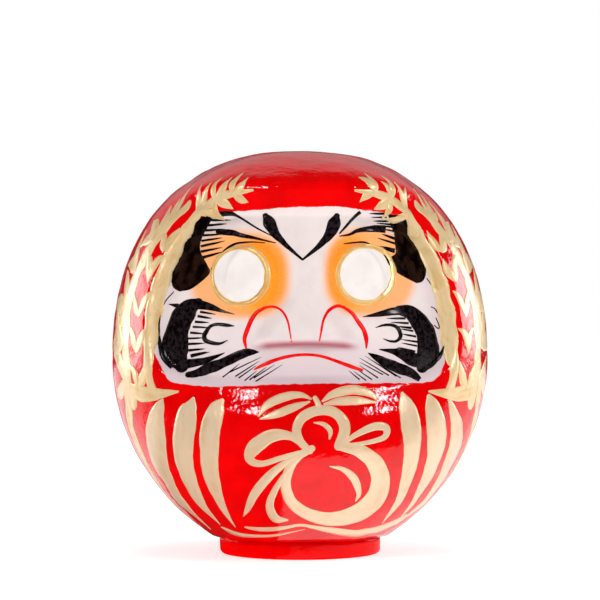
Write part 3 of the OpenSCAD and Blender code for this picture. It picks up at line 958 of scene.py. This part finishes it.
GOURD = [
    # Lower and upper bulb
    [(7, 61.5, 4.2), (-1.5, 56.5, 4.8), (-6.5, 49, 5.4), (-8.5, 39.5, 6), (-4.5, 29, 6.6), (6, 22, 7.1),
     (19.5, 19.5, 8.3), (34, 23, 10.1), (44.5, 31.5, 11.3), (48, 42.5, 11.3), (44.5, 53, 10.1),
     (35.5, 60, 7.7), (24, 63, 5.4)],
    [(6, 60, 3.6), (0, 66, 4.8), (-2, 73, 5.4), (1.5, 80, 6), (10, 84, 6), (19.5, 83.5, 6),
     (25.5, 78, 6.6), (26.5, 71.5, 6.6), (23, 63, 5.4)],
    # Stem
    [(10.5, 84, 3.6), (11, 87.5, 3.4), (9, 91.5, 3)],
    # Halves of its two leaves, with the middle left bare
    [(-25, 80.5, 0.9), (-19.5, 87.5, 4.6), (-10, 92, 5.4), (0, 93.5, 3.6), (7, 91, 1)],
    [(-24, 79.2, 0.9), (-14, 82, 4.6), (-4, 86, 4.8), (6, 89.5, 1)],
    [(13, 89.5, 1), (20, 94, 4.6), (31, 96.5, 5.6), (41, 94.5, 4.2), (46, 90.5, 0.9)],
    [(14, 88, 1), (23, 89.5, 4.6), (34, 90, 5), (45.5, 89, 0.9)],
    # Cord with its bow and two ends
    [(24, 63, 1.8), (33, 69.5, 3.2), (44, 74.5, 4.8), (51, 74, 4.6), (50.5, 68.5, 3.4), (40, 65, 2.6),
     (26, 63.5, 1.6)],
    [(3.5, 62, 2.4), (-6, 69, 4.8), (-17, 69, 7.7), (-27, 62.5, 8.9), (-30, 55.5, 5.4), (-23, 52.5, 3.6),
     (-9.5, 56.5, 3), (3.5, 60.5, 1.8)],
    [(2, 59.5, 1.8), (-8, 53.5, 3.6), (-19, 44.5, 5.4), (-27, 34.5, 5.4), (-31, 26, 3.6),
     (-33.5, 21.5, 0.6)],
    [(2, 58, 1.8), (-6.5, 49, 3), (-14.5, 37.5, 3.6), (-18, 27.5, 4.8), (-14.5, 20, 4.8), (-7.5, 19, 1.2)],
    # Light on the bulbs
    [(17.5, 51, 0.6), (26, 49, 3), (32.5, 43, 4.8), (35, 35, 3), (33, 30, 0.6)],
    [(8, 77, 0.6), (14, 76, 2.6), (18, 72, 3), (17.5, 67, 0.8)],
]
belly = Paint(drape_view, 0.16, gap=1.3, ragged=0.03)
belly.strokes_of(BELLY_STRIPES + HEM_WAVES + GOURD)
belly.piece("belly_gold", gold)

# ---------------- gold beside the face
SIDE_STRIPES = {
    -1: [(133, 91, 5), (137, 80, 10), (140, 66, 12), (143, 50, 10), (146, 36, 6), (148, 24, 2)],
    1: [(131, 91, 1), (139, 84, 7), (146, 74, 11), (152, 62, 10), (156, 48, 8), (158, 34, 5),
        (160, 22, 1.5)],
}


def on_side(side, points):
    return [(side * x, *rest) for x, *rest in points]


# How far around the inner stem of each side runs, close beside the face
INNER_STEM = {-1: 100, 1: 97}


def lean(y):
    """How far the row between the stems has bent towards the forehead at a height."""
    return 12 * max(0, y - 150) / 30


def bamboo(paint, side):
    """Two bamboo stems beside the face that arch onto the forehead, their leaves and a stripe below."""
    def leaves(x, y, headings, length, width):
        paint.spray(side * x, y, [side * h for h in headings], length, width)

    edge = INNER_STEM[side]
    paint.culm(on_side(side, [(edge, 97, 6), (edge + 2.5, 118, 6), (edge + 3, 140, 6.5),
                              (edge + 1, 160, 6.5), (edge - 4, 178, 6), (edge - 12, 191, 6),
                              (79, 200, 5)]), 7)
    paint.culm(on_side(side, [(123, 92, 10), (128, 112, 11), (131, 135, 12), (129, 158, 12),
                              (121, 178, 10), (109, 194, 8), (95, 204, 6)]), 6)
    for y, length in ((100, 17), (120, 18), (141, 18), (161, 17), (178, 15)):
        leaves(114 - lean(y), y, (35, -35), length, 7)
    leaves(130, 103, (60, 110, 165), 29, 10)
    leaves(134, 124, (45, 95), 31, 11)
    leaves(136, 146, (40, 85, 130), 31, 11)
    leaves(132, 166, (30, 80), 29, 10.5)
    leaves(120, 184, (15, 60, 100), 24, 9)
    leaves(106, 199, (10, 50, 85), 17, 6)
    leaves(80, 200, (-65, -105, -20, 25), 17, 5.5)
    paint.stroke(on_side(side, [(80, 200, 5.5), (68, 206, 5), (54, 209.5, 4.4), (36, 211.5, 1.4)]))
    leaves(66, 206.5, (-35, -110, 5, -155), 14, 5.5)
    leaves(51, 210, (-45, -115, 0), 13, 5.5)
    paint.stroke(on_side(side, [(122, 98, 9), (108, 96.5, 9.5), (95, 97, 6), (81, 98.5, 1.2)]))
    paint.stroke(on_side(side, SIDE_STRIPES[side]))


for side, name in ((-1, "left_gold"), (1, "right_gold")):
    sprigs = Paint(drape_wrap, 0.14, gap=1.3, ragged=0.05)
    bamboo(sprigs, side)
    sprigs.piece(name, side_gold)


# ---------------- seam strips, foot, weight and base
# Points across a strip: an even number, so that no row of them runs along the seam itself
STRIP_COLUMNS = 14
# Steps over which its ends fade, then its unevenness, its lift and the depth of its underside
STRIP_FADE = 4
STRIP_TORN = 0.12
STRIP_LIFT = 0.04
STRIP_SUNK = 0.3


def feathered_strip(name, drape, path, widths, replaced):
    """A strip of pulp paper over the seam, thin at its edges, under the lacquer.

    path gives the middle of the strip, and widths its way and length across, at each step.
    """
    top, bottom = [], []
    for i, ((x, y), (wx, wy)) in enumerate(zip(path, widths)):
        full = min(1, i / STRIP_FADE, (len(path) - 1 - i) / STRIP_FADE)
        for s in np.linspace(-1, 1, STRIP_COLUMNS):
            spot = drape(x + wx * s, y + wy * s)[0]
            out = (spot - Vector((0, 0, WAIST_H))).normalized()
            thick = (STRIP_T + STRIP_TORN * noise.noise(spot / 4)) * (1 - s * s) * full
            top.append(spot + out * (STRIP_LIFT + thick))
            bottom.append(spot - out * STRIP_SUNK)
    verts = [list(p) for p in top + bottom]
    strip = to_object(name, verts, slab_faces(len(path), STRIP_COLUMNS))
    finish_piece(strip, lacquer, "seam_paper", replaced)


def strip_edges(count):
    """Half the width of a torn strip at each step."""
    return [STRIP_W / 2 * (1 + 0.07 * noise.noise((i * 0.35, 4.2, 0))) for i in range(count)]


strip_from = FOOT_H + STRIP_RISE
strip_to = next(z for z in np.arange(WAIST_H, DOLL_H, 0.1) if plain_r(z) < CROWN_STRIP_L / 2)
side_heights = np.linspace(strip_from, strip_to, 90)
for side, name in ((-1, "left"), (1, "right")):
    path = [(side * 90 * WAIST_R * math.radians(1), z) for z in side_heights]
    widths = [
        (side * math.asin(min(1, half / plain_r(z))) * WAIST_R, 0)
        for z, half in zip(side_heights, strip_edges(len(path)))
    ]
    feathered_strip("seam_paper_" + name, drape_wrap, path, widths, "seam_strip_" + name)
crown_path = [(x, 0) for x in np.linspace(-CROWN_STRIP_L / 2, CROWN_STRIP_L / 2, 80)]
crown_widths = [(0, -half) for half in strip_edges(len(crown_path))]
feathered_strip("seam_paper_crown", drape_crown, crown_path, crown_widths, "seam_strip_crown")

AXIS_GAP = 0.01
FOOT_LUMPS = [(18, 0.5), (7, 0.2)]
foot_edge = [
    (FOOT_R - FOOT_ROUND * (1 - math.sin(a)), FOOT_ROUND * (1 - math.cos(a)))
    for a in np.radians(np.linspace(0, 90, 7))
]
pocket_r = FOOT_R - FOOT_RIM
foot_profile = [
    (AXIS_GAP, FOOT_FLOOR), (AXIS_GAP, PAPER_POCKET), (pocket_r / 2, PAPER_POCKET),
    (pocket_r - 0.4, PAPER_POCKET), (pocket_r, PAPER_POCKET - 0.3), (pocket_r, 0.2), (pocket_r + 0.4, 0),
    *foot_edge, *((FOOT_R, z) for z in (4, 6, 8, FOOT_H - 0.5)), (FOOT_R - 0.6, FOOT_H),
    (FOOT_R - FOOT_WALL, FOOT_H), (FOOT_R - FOOT_WALL, FOOT_FLOOR),
]
foot_points, foot_faces = lathe(foot_profile, 180)
radius = np.hypot(foot_points[:, 0], foot_points[:, 1])
uneven = pulp_lumps(foot_points, FOOT_LUMPS) * blend((radius - FOOT_R + 2) / 1.5)
foot_points[:, :2] *= (1 + (uneven + 0.2) / np.maximum(radius, 1))[:, None]
foot = to_object("foot_lacquer", foot_points, foot_faces)
finish_piece(foot, brightened_foot_red, "foot_pulp", "foot_dish")


def coat_node(node, coat):
    """Give a CAD node that stays in view its material."""
    obj = bpy.data.objects[node]
    obj.data.materials.clear()
    obj.data.materials.append(coat)


coat_node("clay_weight", make_clay())
coat_node("base_paper", make_paper())

# ---------------- camera, lights, floor
camera_data = bpy.data.cameras.new("camera")
camera_data.sensor_width = SENSOR
camera_data.lens = SENSOR * VIEW_DISTANCE / VIEW_WIDTH
camera_data.clip_end = 50
camera = bpy.data.objects.new("camera", camera_data)
camera.location = EYE * MM
camera.rotation_euler = (math.pi / 2, 0, turn)
bpy.context.scene.collection.objects.link(camera)
bpy.context.scene.camera = camera


def softbox(name, azimuth, elevation, distance, size, brightness, target=(0, 0, 0.12)):
    """An area light that faces the doll. Azimuth 0 is in front and grows towards +X."""
    light = bpy.data.lights.new(name, "AREA")
    light.shape = "RECTANGLE"
    light.size, light.size_y = size
    light.energy = brightness * math.pi * size[0] * size[1]
    obj = bpy.data.objects.new(name, light)
    a, e = math.radians(azimuth), math.radians(elevation)
    away = Vector((math.sin(a) * math.cos(e), -math.cos(a) * math.cos(e), math.sin(e)))
    obj.location = Vector(target) + away * distance
    obj.rotation_euler = away.to_track_quat("Z", "Y").to_euler()
    bpy.context.scene.collection.objects.link(obj)
    return obj


softbox("front_left", -34, 27, 1.6, (0.22, 0.22), 36)
softbox("front_right", 52, 27, 1.6, (0.22, 0.22), 36)
overhead = softbox("overhead", 0, 89, 2.0, (1.2, 1.2), 3.4)
overhead.visible_glossy = False
softbox("side_left", -122, 9, 1.2, (0.6, 0.45), 4)
softbox("side_right", 122, 9, 1.2, (0.6, 0.45), 4)


def glowing(name, brightness):
    """The material of a card that shines evenly."""
    mat = bpy.data.materials.new(name)
    mat.use_nodes = True
    tree = mat.node_tree
    light = add(tree, "Emission", in_Color=WHITE, in_Strength=brightness)
    tree.links.new(light, tree.nodes["Material Output"].inputs["Surface"])
    return mat


def sheet(name, x, y, z):
    """A flat rectangle over the ranges x and y."""
    corners = [(x[0], y[0], z), (x[1], y[0], z), (x[1], y[1], z), (x[0], y[1], z)]
    return to_object(name, corners, [(0, 1, 2, 3)])


def card(name, x, y):
    """A white card on the table that shows only in reflections."""
    obj = sheet(name, x, y, CARD_H)
    obj.data.materials.append(glowing(name, CARD_GLOW))
    obj.visible_camera = False
    obj.visible_diffuse = False
    obj.visible_shadow = False


CARD_H = 1
CARD_GLOW = 0.95
card("table_right", (-15, 2000), (-132, 3000))
card("table_behind", (-2000, -15), (70, 3000))

FLOOR_REACH = (-6000, 6000)
floor = sheet("floor", FLOOR_REACH, FLOOR_REACH, 0)
pale, tree = material("pale_floor", Roughness=0.9, Specular_IOR_Level=0.1, Emission_Color=WHITE)
cloudy = tint(tree, grain(tree, 300, 2), (0.86, 0.86, 0.86, 1), (0.9, 0.9, 0.9, 1))
join(tree, cloudy, "Base Color")
far = add(tree, "VectorMath", 1, operation="LENGTH", in_0=own_place(tree))
join(tree, span(tree, far, 0.1, 0.9, 0.6, 0.95), "Emission Strength")
floor.data.materials.append(pale)
floor.visible_glossy = False

# The camera sees a white room, and reflections a dark one with a lighter backdrop behind the doll
FILL = 0.25
BACKDROP = 0.36
DARK_ROOM = 0.02
world = bpy.data.worlds.new("studio")
world.use_nodes = True
tree = world.node_tree
path_kind = tree.nodes.new("ShaderNodeLightPath").outputs
way = add(tree, "TexCoord", "Generated")
parts = tree.nodes.new("ShaderNodeSeparateXYZ")
tree.links.new(way, parts.inputs[0])
behind = times(tree, span(tree, parts.outputs["Y"], 0.72, 0.8), span(tree, parts.outputs["Z"], 0.1, 0.25))
reflected = span(tree, behind, 0, 1, DARK_ROOM, BACKDROP)
unseen = add(tree, "Mix", in_0=path_kind["Is Glossy Ray"], in_2=FILL, in_3=reflected)
strength = add(tree, "Mix", in_0=path_kind["Is Camera Ray"], in_2=unseen, in_3=1.0)
tree.links.new(strength, tree.nodes["Background"].inputs["Strength"])
tree.nodes["Background"].inputs["Color"].default_value = WHITE
world.cycles.sampling_method = "NONE"
bpy.context.scene.world = world
bpy.context.scene.view_settings.view_transform = "Standard"
